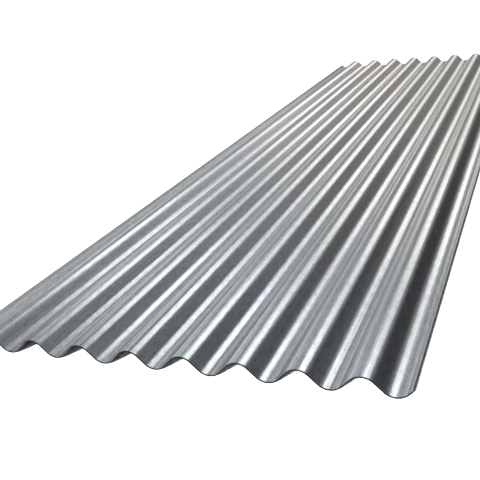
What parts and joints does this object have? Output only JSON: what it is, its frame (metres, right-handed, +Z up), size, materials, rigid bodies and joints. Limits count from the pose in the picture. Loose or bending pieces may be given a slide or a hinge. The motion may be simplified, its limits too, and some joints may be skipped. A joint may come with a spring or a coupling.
{
  "type": "corrugated metal sheet",
  "caption": "Rectangular sheet of zinc-coated steel rolled into rounded lengthwise waves, lying flat, with side edges part of the way up the outer flanks and square-cut ends.",
  "frame": {"origin": "on the floor under the middle of the sheet, half way along and half way across, where the middle trough touches the floor", "axes": "+X across the waves to one side edge, +Y along the waves to one cut end, +Z up from the floor through the crests"},
  "size_m": [0.6464, 2.2, 0.0228],
  "materials": {
    "zinc_coated_steel": "satin"
  },
  "bodies": {
    "root": {"corrugated_sheet": "zinc_coated_steel"}
  },
  "joints": []
}
